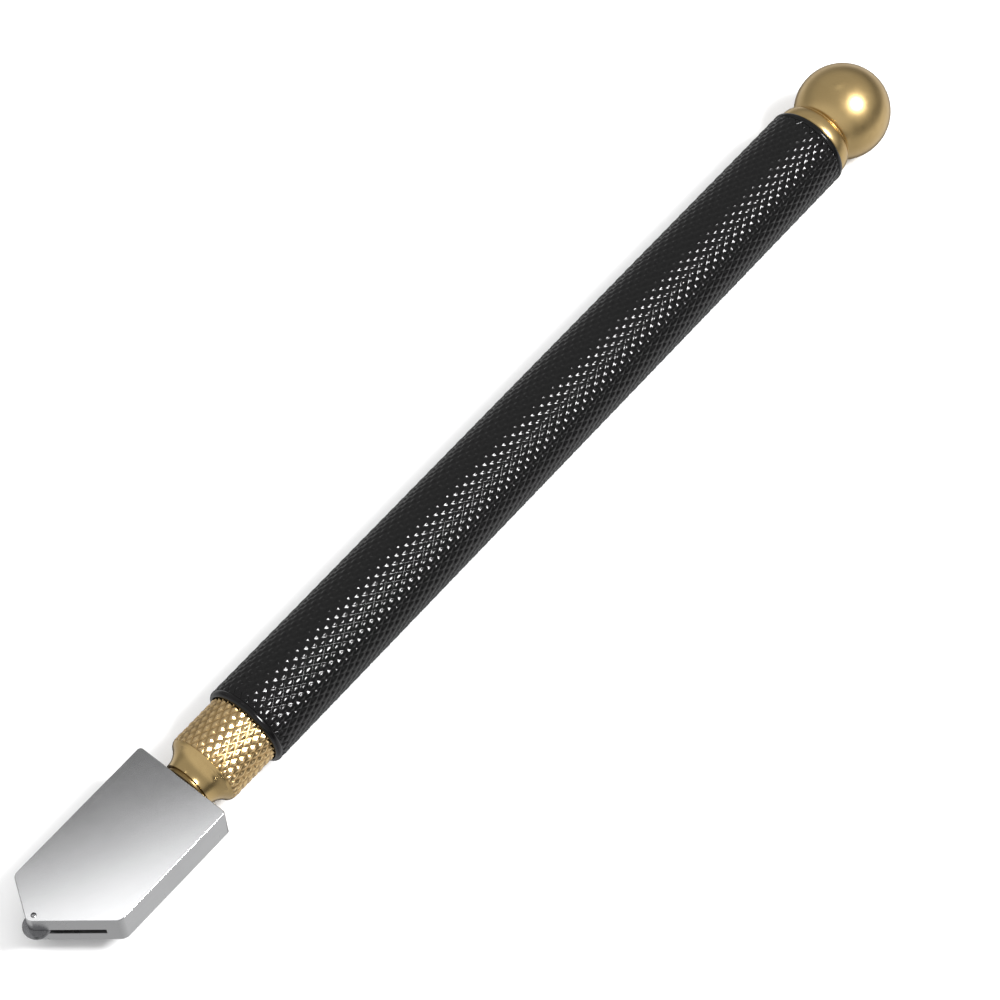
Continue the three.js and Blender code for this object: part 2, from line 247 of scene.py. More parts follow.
def cut_with(piece, cutter, operation="DIFFERENCE"):
    """Joins or cuts with another solid, and removes that solid."""
    apply_modifier(piece, "BOOLEAN", operation=operation, object=cutter, solver="EXACT")
    bpy.data.objects.remove(cutter)
    return piece


def rod(name, place, radius, depth, rotation=(0, 0, 0), vertices=64):
    clear_selection()
    bpy.ops.mesh.primitive_cylinder_add(
        vertices=vertices, radius=radius, depth=depth, location=place, rotation=rotation
    )
    return settle(named(name))


def grow_rim(piece, loop_x, profile):
    """Extrudes the open loop at loop_x through a profile of (x, radius) pairs, along the piece's own Z."""
    select_where(piece, "edges", lambda e: e.is_boundary and abs(e.verts[0].co.z - loop_x) < 0.02 * MM)
    radius = max(math.hypot(v.co.x, v.co.y) for v in bmesh.from_edit_mesh(piece.data).verts if v.select)
    for x, r in profile:
        bpy.ops.mesh.extrude_edges_move(TRANSFORM_OT_translate={"value": (0, 0, x - loop_x)})
        bpy.ops.transform.resize(value=(r / radius, r / radius, 1), center_override=(0, 0, x))
        loop_x, radius = x, r
    return loop_x


def knurled_sleeve(name, radius, start, end, starts, rows, depth, low_rim, high_rim, land=0.54):
    """A tube with a diamond knurl from start to end, whose rims go on through low_rim and high_rim."""
    groove = radius - depth
    pitch = 2 * math.pi * radius / starts
    clear_selection()
    bpy.ops.mesh.primitive_cylinder_add(vertices=starts, radius=groove, depth=end - start,
                                        end_fill_type="NOTHING", location=(0, 0, (start + end) / 2))
    piece = settle(named(name))
    with editing(piece):
        select_where(piece, "edges", lambda e: abs(e.verts[0].co.z - e.verts[1].co.z) > 0.1 * MM)
        bpy.ops.mesh.subdivide(number_cuts=rows - 1)
        bpy.ops.mesh.select_all(action="SELECT")
        bpy.ops.mesh.mark_seam(clear=False)
        bpy.ops.mesh.poke()
        select_where(piece, "edges", lambda e: e.seam and not e.is_boundary)
        bpy.ops.mesh.dissolve_edges(use_verts=False)
        bpy.ops.mesh.select_all(action="SELECT")
        bpy.ops.mesh.mark_seam(clear=True)
    apply_modifier(piece, "CAST", cast_type="CYLINDER", factor=1.0, use_z=False,
                   use_radius_as_size=False, size=groove)
    flank = pitch * 0.5 * (1 - land)
    crown = 0.1 * pitch * land
    with editing(piece, "FACE"):
        bpy.ops.mesh.select_all(action="SELECT")
        bpy.ops.mesh.normals_make_consistent(inside=False)
        for whole, reach in ((True, flank), (False, 0.6 * flank)):
            select_where(piece, "faces", lambda f: whole != any(e.is_boundary for e in f.edges))
            bpy.ops.mesh.inset(thickness=0.06 * reach, depth=0.03 * depth, use_individual=True)
            bpy.ops.mesh.inset(thickness=0.62 * reach, depth=0.72 * depth, use_individual=True)
            bpy.ops.mesh.inset(thickness=0.32 * reach, depth=0.22 * depth, use_individual=True)
            bpy.ops.mesh.inset(thickness=crown, depth=0.06 * depth, use_individual=True)
    with editing(piece):
        for rim in (start, end):
            select_where(piece, "edges", lambda e: e.is_boundary and abs(e.verts[0].co.z - rim) < 0.02 * MM)
            bpy.ops.mesh.subdivide(number_cuts=3)
            bpy.ops.transform.tosphere(value=1.0)
    with editing(piece):
        low = grow_rim(piece, start, low_rim)
        high = grow_rim(piece, end, high_rim)
        select_where(piece, "edges", lambda e: e.is_boundary and min(
            abs(e.verts[0].co.z - low), abs(e.verts[0].co.z - high)) < 0.02 * MM)
        bpy.ops.mesh.bridge_edge_loops()
    piece.rotation_euler = (0, math.pi / 2, 0)
    piece.location.z = AXIS_Z
    settle(piece)
    tidy_shell(piece, 1e-7)
    return smooth(piece, 75)


def screwed(piece, turns, rise):
    """Sweeps an outline that stands beside the Z axis into a closed helix along the handle's axis."""
    steps = int(48 * turns)
    apply_modifier(piece, "SCREW", axis="Z", angle=2 * math.pi * turns, screw_offset=rise,
                   steps=steps, render_steps=steps, use_merge_vertices=False)
    with editing(piece):
        select_where(piece, "edges", lambda e: e.is_boundary)
        bpy.ops.mesh.fill_holes(sides=0)
    piece.rotation_euler = (0, math.pi / 2, 0)
    piece.location.z = AXIS_Z
    settle(piece)
    return tidy_shell(piece)


def thread_ridge(name, start, end, root, crest, pitch, sunk=0.12 * MM):
    """A helical ridge for a screw thread, closed at both ends, to be joined to its shank."""
    half = pitch / 2
    clear_selection()
    bpy.ops.mesh.primitive_circle_add(vertices=4, radius=half, fill_type="NOTHING")
    piece = named(name)
    foot, land = 0.42 * pitch, 0.06 * pitch  # half the ridge's width at its foot and at its crest
    corners = [(-foot, root - sunk), (-land, crest), (land, crest), (foot, root - sunk)]
    for vertex, (x, r) in zip(piece.data.vertices, corners):
        vertex.co = (0, r, x + start + half)
    turns = (end - start - pitch) / pitch
    return screwed(piece, turns, pitch * turns)


def finished(piece, node, body, *finishes):
    """Gives a piece its materials and its body, and hides the node that it stands for."""
    piece.data.materials.clear()
    for finish in finishes:
        piece.data.materials.append(finish)
    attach(piece, body)
    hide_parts(node)
    return piece


# ---- Material helpers ----------------------------------------------------------------------------


def add_node(tree, kind, **values):
    """A node whose settings and input values are given by name."""
    node = tree.nodes.new(kind)
    for key, value in values.items():
        if key in node.bl_rna.properties and not key[0].isupper():
            setattr(node, key, value)
        else:
            node.inputs[key.replace("_", " ")].default_value = value
    return node


def maths(tree, operation, first, second=None, third=None, clamp=False):
    node = tree.nodes.new("ShaderNodeMath")
    node.operation = operation
    node.use_clamp = clamp
    for socket, value in zip(node.inputs, (first, second, third)):
        if isinstance(value, bpy.types.NodeSocket):
            tree.links.new(value, socket)
        elif value is not None:
            socket.default_value = value
    return node.outputs[0]


def new_group(name, inputs, outputs):
    """An empty node group with named sockets; the inputs carry their defaults."""
    tree = bpy.data.node_groups.new(name, "ShaderNodeTree")
    for label, kind, default in inputs:
        socket = tree.interface.new_socket(label, in_out="INPUT", socket_type=kind)
        if default is not None:
            socket.default_value = default
    for label, kind in outputs:
        tree.interface.new_socket(label, in_out="OUTPUT", socket_type=kind)
    return tree, tree.nodes.new("NodeGroupInput"), tree.nodes.new("NodeGroupOutput")


FLOAT, COLOUR, VECTOR = "NodeSocketFloat", "NodeSocketColor", "NodeSocketVector"


def handling_group():
    """Soft patches from hands and oil: how dull the surface is, and how far its colour has turned."""
    if "Handling" in bpy.data.node_groups:
        return bpy.data.node_groups["Handling"]
    tree, given, made = new_group(
        "Handling",
        [("Vector", VECTOR, None), ("Size", FLOAT, 4.0), ("Polished", FLOAT, 0.15), ("Dull", FLOAT, 0.3)],
        [("Roughness", FLOAT), ("Patches", FLOAT)],
    )
    scale = maths(tree, "DIVIDE", 1000.0, given.outputs["Size"])
    broad = add_node(tree, "ShaderNodeTexNoise", Detail=5.0, Roughness=0.62)
    fine = add_node(tree, "ShaderNodeTexNoise", Detail=3.0, Roughness=0.55)
    for noise, factor in ((broad, 1.0), (fine, 6.3)):
        tree.links.new(given.outputs["Vector"], noise.inputs["Vector"])
        tree.links.new(maths(tree, "MULTIPLY", scale, factor), noise.inputs["Scale"])
    both = maths(tree, "ADD", maths(tree, "MULTIPLY", broad.outputs["Fac"], 0.72),
                 maths(tree, "MULTIPLY", fine.outputs["Fac"], 0.28))
    ramp = add_node(tree, "ShaderNodeMapRange", interpolation_type="SMOOTHSTEP", From_Min=0.36, From_Max=0.66)
    tree.links.new(both, ramp.inputs["Value"])
    spread = maths(tree, "SUBTRACT", given.outputs["Dull"], given.outputs["Polished"])
    rough = maths(tree, "MULTIPLY_ADD", ramp.outputs["Result"], spread, given.outputs["Polished"])
    tree.links.new(rough, made.inputs["Roughness"])
    tree.links.new(ramp.outputs["Result"], made.inputs["Patches"])
    return tree


def tool_marks_group():
    """Fine rings left by turning or grinding along one direction."""
    if "Tool Marks" in bpy.data.node_groups:
        return bpy.data.node_groups["Tool Marks"]
    tree, given, made = new_group(
        "Tool Marks",
        [("Vector", VECTOR, None), ("Direction", VECTOR, (1, 0, 0)), ("Spacing", FLOAT, 0.12)],
        [("Height", FLOAT), ("Streaks", FLOAT)],
    )
    dot = add_node(tree, "ShaderNodeVectorMath", operation="DOT_PRODUCT")
    tree.links.new(given.outputs["Vector"], dot.inputs[0])
    tree.links.new(given.outputs["Direction"], dot.inputs[1])
    millimetres = maths(tree, "MULTIPLY", dot.outputs["Value"], 1000.0)
    place = maths(tree, "DIVIDE", millimetres, given.outputs["Spacing"])
    rings = add_node(tree, "ShaderNodeTexNoise", noise_dimensions="1D", Detail=3.0, Roughness=0.7, Scale=1.0)
    tree.links.new(place, rings.inputs["W"])
    broad = add_node(tree, "ShaderNodeTexNoise", noise_dimensions="1D", Detail=2.0, Roughness=0.5, Scale=0.21)
    tree.links.new(place, broad.inputs["W"])
    tree.links.new(rings.outputs["Fac"], made.inputs["Height"])
    tree.links.new(broad.outputs["Fac"], made.inputs["Streaks"])
    return tree


def depth_group():
    """How far a point stands out from the handle's axis, from 0 in the grooves to 1 on the crests."""
    if "Groove Depth" in bpy.data.node_groups:
        return bpy.data.node_groups["Groove Depth"]
    tree, given, made = new_group(
        "Groove Depth",
        [("Vector", VECTOR, None), ("Axis Height", FLOAT, AXIS_Z),
         ("Groove", FLOAT, 0.005), ("Crest", FLOAT, 0.006)],
        [("Depth", FLOAT)],
    )
    parts = add_node(tree, "ShaderNodeSeparateXYZ")
    tree.links.new(given.outputs["Vector"], parts.inputs[0])
    up = maths(tree, "SUBTRACT", parts.outputs["Z"], given.outputs["Axis Height"])
    squares = maths(tree, "ADD", maths(tree, "MULTIPLY", up, up),
                    maths(tree, "MULTIPLY", parts.outputs["Y"], parts.outputs["Y"]))
    ramp = add_node(tree, "ShaderNodeMapRange", interpolation_type="SMOOTHSTEP")
    tree.links.new(maths(tree, "SQRT", squares), ramp.inputs["Value"])
    tree.links.new(given.outputs["Groove"], ramp.inputs["From Min"])
    tree.links.new(given.outputs["Crest"], ramp.inputs["From Max"])
    tree.links.new(ramp.outputs["Result"], made.inputs["Depth"])
    return tree


def edge_wear_group():
    """Where edges have been rubbed, broken up by a fine noise."""
    if "Edge Wear" in bpy.data.node_groups:
        return bpy.data.node_groups["Edge Wear"]
    tree, given, made = new_group(
        "Edge Wear",
        [("Vector", VECTOR, None), ("Start", FLOAT, 0.53), ("Full", FLOAT, 0.62)],
        [("Wear", FLOAT)],
    )
    geometry = tree.nodes.new("ShaderNodeNewGeometry")
    ramp = add_node(tree, "ShaderNodeMapRange")
    tree.links.new(geometry.outputs["Pointiness"], ramp.inputs["Value"])
    tree.links.new(given.outputs["Start"], ramp.inputs["From Min"])
    tree.links.new(given.outputs["Full"], ramp.inputs["From Max"])
    noise = add_node(tree, "ShaderNodeTexNoise", Scale=1400.0, Detail=3.0, Roughness=0.6)
    tree.links.new(given.outputs["Vector"], noise.inputs["Vector"])
    broken = add_node(tree, "ShaderNodeMapRange", From_Min=0.35, From_Max=0.7)
    tree.links.new(noise.outputs["Fac"], broken.inputs["Value"])
    tree.links.new(maths(tree, "MULTIPLY", ramp.outputs["Result"], broken.outputs["Result"], clamp=True),
                   made.inputs["Wear"])
    return tree


def place_group(tree, group, **values):
    node = tree.nodes.new("ShaderNodeGroup")
    node.node_tree = group
    for key, value in values.items():
        node.inputs[key.replace("_", " ")].default_value = value
    return node


def new_material(name, viewport, **shader):
    """A material with a Principled BSDF, object coordinates, and constants set on the shader itself."""
    material = bpy.data.materials.new(name)
    material.use_nodes = True
    material.diffuse_color = (*viewport, 1)
    tree = material.node_tree
    bsdf = tree.nodes["Principled BSDF"]
    for key, value in shader.items():
        bsdf.inputs[key.replace("_", " ")].default_value = value
    coordinates = tree.nodes.new("ShaderNodeTexCoord")
    return material, tree, bsdf, coordinates.outputs["Object"]


def blend_colours(tree, mask, first, second):
    node = tree.nodes.new("ShaderNodeMix")
    node.data_type = "RGBA"
    tree.links.new(mask, node.inputs["Factor"])
    for socket, value in ((node.inputs[6], first), (node.inputs[7], second)):
        if isinstance(value, bpy.types.NodeSocket):
            tree.links.new(value, socket)
        else:
            socket.default_value = (*value, 1)
    return node.outputs[2]


def bump(tree, bsdf, height, distance_mm, strength=1.0):
    node = add_node(tree, "ShaderNodeBump", Distance=distance_mm * MM, Strength=strength)
    tree.links.new(height, node.inputs["Height"])
    tree.links.new(node.outputs["Normal"], bsdf.inputs["Normal"])


def once(build):
    """A material is built the first time that it is asked for."""
    name = build.__name__.replace("_", " ").title()

    def fetch():
        return bpy.data.materials.get(name) or build(name)

    return fetch


@once
def black_enamel(name):
    look = bpy.context.scene.cutter_finishes
    material, tree, bsdf, place = new_material(name, look.enamel, IOR=1.52, Specular_IOR_Level=0.34)
    patches = place_group(tree, handling_group(), Size=3.0, Polished=0.10, Dull=0.19)
    wear = place_group(tree, edge_wear_group(), Start=0.54, Full=0.68)
    groove = BARREL_RADIUS - bpy.context.scene.cutter_sizes.grip_depth
    depth = place_group(tree, depth_group(), Groove=groove, Crest=BARREL_RADIUS)
    for group in (patches, wear, depth):
        tree.links.new(place, group.inputs["Vector"])
    dusty = blend_colours(tree, depth.outputs["Depth"], (0.003, 0.003, 0.003), look.enamel)
    rubbed = maths(tree, "MULTIPLY", wear.outputs["Wear"], 0.25)
    tree.links.new(blend_colours(tree, rubbed, dusty, (0.03, 0.03, 0.03)), bsdf.inputs["Base Color"])
    tree.links.new(patches.outputs["Roughness"], bsdf.inputs["Roughness"])
    grain = add_node(tree, "ShaderNodeTexNoise", Scale=2600.0, Detail=2.0)
    tree.links.new(place, grain.inputs["Vector"])
    bump(tree, bsdf, grain.outputs["Fac"], 0.006)
    return material


def brass_nodes(tree, bsdf, place, spacing, marks, polished, tint):
    """Turned brass: rings along the axis, dull patches, and a tint that deepens with both."""
    look = bpy.context.scene.cutter_finishes
    patches = place_group(tree, handling_group(), Size=5.0, Polished=polished, Dull=polished + 0.08)
    rings = place_group(tree, tool_marks_group(), Direction=(1, 0, 0), Spacing=spacing)
    for group in (patches, rings):
        tree.links.new(place, group.inputs["Vector"])
    dull = maths(tree, "MULTIPLY", patches.outputs["Patches"], 0.16)
    streak = maths(tree, "MULTIPLY", rings.outputs["Streaks"], 0.10)
    mask = maths(tree, "ADD", dull, streak)
    tree.links.new(patches.outputs["Roughness"], bsdf.inputs["Roughness"])
    bump(tree, bsdf, rings.outputs["Height"], marks)
    return blend_colours(tree, mask, tint, look.brass_deep)


def plain_brass(name, tint, spacing, marks, polished):
    material, tree, bsdf, place = new_material(name, tint, Metallic=1.0)
    shaded = brass_nodes(tree, bsdf, place, spacing, marks, polished, tint)
    tree.links.new(shaded, bsdf.inputs["Base Color"])
    return material


@once
def turned_brass(name):
    tint = bpy.context.scene.cutter_finishes.brass
    return plain_brass(name, tint, spacing=0.09, marks=0.0022, polished=0.17)


# Darker, duller brass for the stem, whose neck shows in the narrow gap between the nose and the head
@once
def oiled_brass(name):
    tint = bpy.context.scene.cutter_finishes.brass_oiled
    return plain_brass(name, tint, spacing=0.09, marks=0.0022, polished=0.28)


@once
def polished_brass(name):
    tint = bpy.context.scene.cutter_finishes.brass
    return plain_brass(name, tint, spacing=0.16, marks=0.0008, polished=0.28)


@once
def knurled_brass(name):
    look = bpy.context.scene.cutter_finishes
    material, tree, bsdf, place = new_material(name, look.brass_cut, Metallic=1.0)
    tint = brass_nodes(tree, bsdf, place, spacing=0.11, marks=0.003, polished=0.2, tint=look.brass_cut)
    depth = place_group(tree, depth_group(),
                        Groove=FERRULE_RADIUS - 0.26 * MM, Crest=FERRULE_RADIUS - 0.04 * MM)
    tree.links.new(place, depth.inputs["Vector"])
    # Painted shade: the depth mask blends from the bright brass on the crests to darker brass in the grooves,
    # in place of the shade in the knurl's hollows
    shaded = blend_colours(tree, depth.outputs["Depth"], look.brass_groove, tint)
    tree.links.new(shaded, bsdf.inputs["Base Color"])
    return material


@once
def polished_steel(name):
    look = bpy.context.scene.cutter_finishes
    material, tree, bsdf, place = new_material(name, look.steel, Metallic=1.0)
    patches = place_group(tree, handling_group(), Size=9.0, Polished=0.07, Dull=0.08)
    swirl = place_group(tree, tool_marks_group(), Direction=(0.3, 1, 0), Spacing=0.05)
    for group in (patches, swirl):
        tree.links.new(place, group.inputs["Vector"])
    streaks = maths(tree, "MULTIPLY", swirl.outputs["Streaks"], 0.06)
    tint = blend_colours(tree, streaks, look.steel, (0.5, 0.5, 0.505))
    tree.links.new(tint, bsdf.inputs["Base Color"])
    tree.links.new(patches.outputs["Roughness"], bsdf.inputs["Roughness"])
    bump(tree, bsdf, swirl.outputs["Height"], 0.0003)
    return material


@once
def ground_steel(name):
    look = bpy.context.scene.cutter_finishes
    material, tree, bsdf, place = new_material(name, look.steel, Metallic=1.0)
    patches = place_group(tree, handling_group(), Size=3.0, Polished=0.27, Dull=0.36)
    lines = place_group(tree, tool_marks_group(), Direction=(0, 0, 1), Spacing=0.06)
    for group in (patches, lines):
        tree.links.new(place, group.inputs["Vector"])
    mask = maths(tree, "MULTIPLY", lines.outputs["Streaks"], 0.3)
    tree.links.new(blend_colours(tree, mask, look.steel, (0.42, 0.42, 0.425)), bsdf.inputs["Base Color"])
    tree.links.new(patches.outputs["Roughness"], bsdf.inputs["Roughness"])
    bump(tree, bsdf, lines.outputs["Height"], 0.002)
    return material


@once
def ground_carbide(name):
    look = bpy.context.scene.cutter_finishes
    material, tree, bsdf, place = new_material(name, look.carbide, Metallic=0.9)
    patches = place_group(tree, handling_group(), Size=2.4, Polished=0.22, Dull=0.30)
    lines = place_group(tree, tool_marks_group(), Direction=(0, 0, 1), Spacing=0.03)
    wear = place_group(tree, edge_wear_group(), Start=0.52, Full=0.6)
    for group in (patches, lines, wear):
        tree.links.new(place, group.inputs["Vector"])
    mask = maths(tree, "MULTIPLY", wear.outputs["Wear"], 0.25)
    tree.links.new(blend_colours(tree, mask, look.carbide, (0.5, 0.5, 0.5)), bsdf.inputs["Base Color"])
    tree.links.new(patches.outputs["Roughness"], bsdf.inputs["Roughness"])
    bump(tree, bsdf, lines.outputs["Height"], 0.0006)
    return material


@once
def drawn_steel(name):
    look = bpy.context.scene.cutter_finishes
    material, tree, bsdf, place = new_material(name, look.steel, Metallic=1.0)
    patches = place_group(tree, handling_group(), Size=1.5, Polished=0.2, Dull=0.38)
    lines = place_group(tree, tool_marks_group(), Direction=(1, 0.2, 0), Spacing=0.04)
    for group in (patches, lines):
        tree.links.new(place, group.inputs["Vector"])
    mask = maths(tree, "MULTIPLY", patches.outputs["Patches"], 0.5)
    tint = blend_colours(tree, mask, (0.55, 0.55, 0.55), (0.36, 0.36, 0.37))
    tree.links.new(tint, bsdf.inputs["Base Color"])
    tree.links.new(patches.outputs["Roughness"], bsdf.inputs["Roughness"])
    bump(tree, bsdf, lines.outputs["Height"], 0.002)
    return material


@once
def seal_rubber(name):
    look = bpy.context.scene.cutter_finishes
    material, tree, bsdf, place = new_material(name, look.rubber, IOR=1.5)
    patches = place_group(tree, handling_group(), Size=1.4, Polished=0.42, Dull=0.7)
    tree.links.new(place, patches.inputs["Vector"])
    tint = blend_colours(tree, patches.outputs["Patches"], look.rubber, (0.03, 0.03, 0.03))
    tree.links.new(tint, bsdf.inputs["Base Color"])
    tree.links.new(patches.outputs["Roughness"], bsdf.inputs["Roughness"])
    grain = add_node(tree, "ShaderNodeTexNoise", Scale=5000.0, Detail=2.0)
    tree.links.new(place, grain.inputs["Vector"])
    bump(tree, bsdf, grain.outputs["Fac"], 0.01)
    return material


@once
def twisted_cotton(name):
    look = bpy.context.scene.cutter_finishes
    material, tree, bsdf, place = new_material(name, look.cotton, IOR=1.45, Roughness=0.9)
    strands = add_node(tree, "ShaderNodeTexWave", Scale=1300.0, Distortion=2.0, Detail=2.0,
                       bands_direction="DIAGONAL")
    tree.links.new(place, strands.inputs["Vector"])
    tint = blend_colours(tree, strands.outputs["Fac"], (0.42, 0.34, 0.20), look.cotton)
    tree.links.new(tint, bsdf.inputs["Base Color"])
    bump(tree, bsdf, strands.outputs["Fac"], 0.05)
    return material


# ---- Pieces --------------------------------------------------------------------------------------


class CUTTER_OT_barrel(bpy.types.Operator):
    """Builds the knurled barrel"""

    bl_idname = "cutter.barrel"
    bl_label = "Barrel"

    def execute(self, context):
        size = context.scene.cutter_sizes
        far = BARREL_LENGTH / MM
        outer = BARREL_RADIUS / MM
        rim = size.grip_rim / MM
        band = size.grip_band / MM
        wall, nose_gap, seat_end = 1.3, 0.15, 1.6
        flush = outer - 0.02  # where the knurl runs into the smooth bands
        seat = FERRULE_RADIUS / MM + nose_gap
        bore = outer - wall

        low = [along(band - 0.12, flush)]
        low += [along(band - 0.3, outer)]
        low += arc(rim, outer - rim, rim, 90, 180, 8)
        low += [along(0, seat), along(0.08, seat - 0.02), along(seat_end, seat - 0.02), along(seat_end, bore)]
        low += [along(seat_end + 0.3, bore)]
        high = [along(far - band + 0.12, flush)]
        high += [along(far - band + 0.3, outer)]
        high += arc(far - rim, outer - rim, rim, 90, 0, 8)
        high += [along(far, bore + 0.1), along(far - 0.1, bore), along(far - 0.4, bore)]
        piece = knurled_sleeve(
            "barrel_knurled", BARREL_RADIUS,
            BARREL_X + size.grip_band, BARREL_X + BARREL_LENGTH - size.grip_band,
            size.grip_starts, size.grip_rows, size.grip_depth, low, high,
        )
        finished(piece, "grip_barrel", "handle", black_enamel())
        return {"FINISHED"}


class CUTTER_OT_ferrule(bpy.types.Operator):
    """Builds the knurled brass nose with its concave front"""

    bl_idname = "cutter.ferrule"
    bl_label = "Ferrule"

    def execute(self, context):
        size = context.scene.cutter_sizes
        outer = FERRULE_RADIUS / MM
        front, front_radius = -10.85, 3.74
        knee, knee_radius = -8.25, outer - 0.35
        sweep = ((knee - front) ** 2 + (knee_radius - front_radius) ** 2) / (2 * (knee_radius - front_radius))
        turn = math.degrees(math.asin((knee - front) / sweep))
        seat, spigot, chamber = 0.85, 4.36, 3.86
        neck_seat, stem_bore, gland, gallery = 3.44, 1.96, 3.36, 2.46  # radii inside the nose

        low = [along(-7.9, outer - 0.12), along(knee, knee_radius)]
        low += arc(front, front_radius + sweep, sweep, -90 + turn, -90, 16)[1:]
        low += [along(front, neck_seat + 0.03), along(front + 0.06, neck_seat)]
        low += [along(-8.85, neck_seat), along(-8.85, stem_bore)]
        for start, end, radius in ((-6.2, -4.6, gland), (-3.6, -2.4, gallery)):
            low += [along(start, stem_bore), along(start, radius), along(end, radius), along(end, stem_bore)]
        low += [along(-1.0, stem_bore), along(-1.0, chamber), along(8.7, chamber)]
        root = spigot - size.spigot_depth / MM
        high = [along(seat, outer - 0.1), along(seat, root), along(8.9, root), along(9.0, root - 0.1)]
        piece = knurled_sleeve(
            "ferrule_knurled", FERRULE_RADIUS, BARREL_X - 7.82 * MM, BARREL_X + (seat - 0.06) * MM,
            size.nose_starts, size.nose_rows, size.nose_depth, low, high, land=0.3,
        )
        ridge = thread_ridge("spigot_thread", BARREL_X + 1.5 * MM, BARREL_X + 8.8 * MM,
                             root * MM, spigot * MM, size.thread_pitch)
        cut_with(piece, ridge, "UNION")
        finished(piece, "nose_ferrule", "nose", knurled_brass(), turned_brass())
        for face in piece.data.polygons:
            radius = math.hypot(face.center.y, face.center.z - AXIS_Z)
            plain = face.center.x < BARREL_X - 7.86 * MM or radius < 4.9 * MM
            face.material_index = 1 if plain else 0
        return {"FINISHED"}


class CUTTER_OT_head(bpy.types.Operator):
    """Builds the steel head with its slot, its axle hole and its stem bore"""

    bl_idname = "cutter.head"
    bl_label = "Head"

    def execute(self, context):
        size = context.scene.cutter_sizes
        half = (HEAD_HIGH.y - HEAD_LOW.y) / 2
        thick = HEAD_HIGH.z - HEAD_LOW.z
        # The outline's corners, from the middle of the head's top edge, each with its rounding
        tip = Vector((-27.55, 1.8)) * MM
        short = Vector((-19.8 * MM, -half))
        long = Vector((-23.85 * MM, half))
        corners = [
            (Vector((0, half)), 0.6), (long, 1.0), (tip, 0.9), (short, 1.4), (Vector((0, -half)), 0.4),
        ]
        clear_selection()
        bpy.ops.mesh.primitive_circle_add(vertices=len(corners), radius=half, fill_type="NGON",
                                          location=(HEAD_TOP, 0, HEAD_LOW.z))
        piece = named("head_block")
        for vertex, (at, _) in zip(piece.data.vertices, corners):
            vertex.co = (*at, 0)
        settle(piece)
        with editing(piece, "VERT"):
            for i, (at, radius) in enumerate(corners):
                before = (corners[i - 1][0] - at).normalized()
                after = (corners[(i + 1) % len(corners)][0] - at).normalized()
                reach = radius * MM / math.tan(before.angle(after) / 2)
                spot = Vector((HEAD_TOP + at.x, at.y, HEAD_LOW.z))
                select_where(piece, "verts", lambda v, spot=spot: (v.co - spot).length < 1e-6)
                bpy.ops.mesh.bevel(offset=reach, segments=12, affect="VERTICES", profile=0.5)
            bpy.ops.mesh.select_mode(type="FACE")
            bpy.ops.mesh.select_all(action="SELECT")
            bpy.ops.mesh.extrude_region_move(TRANSFORM_OT_translate={"value": (0, 0, thick)})
            bpy.ops.mesh.select_all(action="SELECT")
            bpy.ops.mesh.normals_make_consistent(inside=False)
            bpy.ops.mesh.select_mode(type="EDGE")
            for level, width in ((HEAD_HIGH.z, size.head_bevel), (HEAD_LOW.z, size.head_break)):
                select_where(piece, "edges", lambda e: all(abs(v.co.z - level) < 1e-6 for v in e.verts))
                bpy.ops.mesh.bevel(offset=width, segments=3, affect="EDGES", profile=0.5)
        middle = (HEAD_LOW.z + HEAD_HIGH.z) / 2
        along_base = (short - tip).normalized()
        slot_length, slot_depth, slot_width = 9.95 * MM, 3.07 * MM, 1.1 * MM
        overrun = 4 * MM  # the cutter starts this far outside the tip
        axle_hole, stem_bore, duct_bore = 0.39 * MM, 2.23 * MM, 0.75 * MM
        centre = tip + along_base * ((slot_length - overrun) / 2)
        clear_selection()
        bpy.ops.mesh.primitive_cube_add(
            size=1, location=(HEAD_TOP + centre.x, centre.y, WHEEL_CENTRE.z),
            rotation=(0, 0, math.atan2(along_base.y, along_base.x)),
            scale=(slot_length + overrun, 2 * slot_depth, slot_width),
        )
        slot = settle(named("slot_cutter"))
        cut_with(piece, slot)
        axle = rod("axle_cutter", (WHEEL_CENTRE.x, WHEEL_CENTRE.y, middle), axle_hole, 3 * thick, vertices=32)
        cut_with(piece, axle)
        turn = (0, math.pi / 2, 0)
        bore = rod("bore_cutter", (HEAD_TOP - 2.05 * MM, 0, middle), stem_bore, 8.1 * MM, turn)
        cut_with(piece, bore)
        duct = rod("duct_cutter", (HEAD_TOP - 14.6 * MM, 0, middle), duct_bore, 18.4 * MM, turn, vertices=32)
        cut_with(piece, duct)
        finished(piece, "cutter_head", "head", polished_steel(), ground_steel())
        for face in piece.data.polygons:
            on_face = min(abs(face.center.z - HEAD_LOW.z), abs(face.center.z - HEAD_HIGH.z)) < 0.25 * MM
            face.material_index = 0 if on_face else 1
        smooth(piece, 40)
        apply_modifier(piece, "WEIGHTED_NORMAL", mode="FACE_AREA", weight=100, keep_sharp=True)
        return {"FINISHED"}


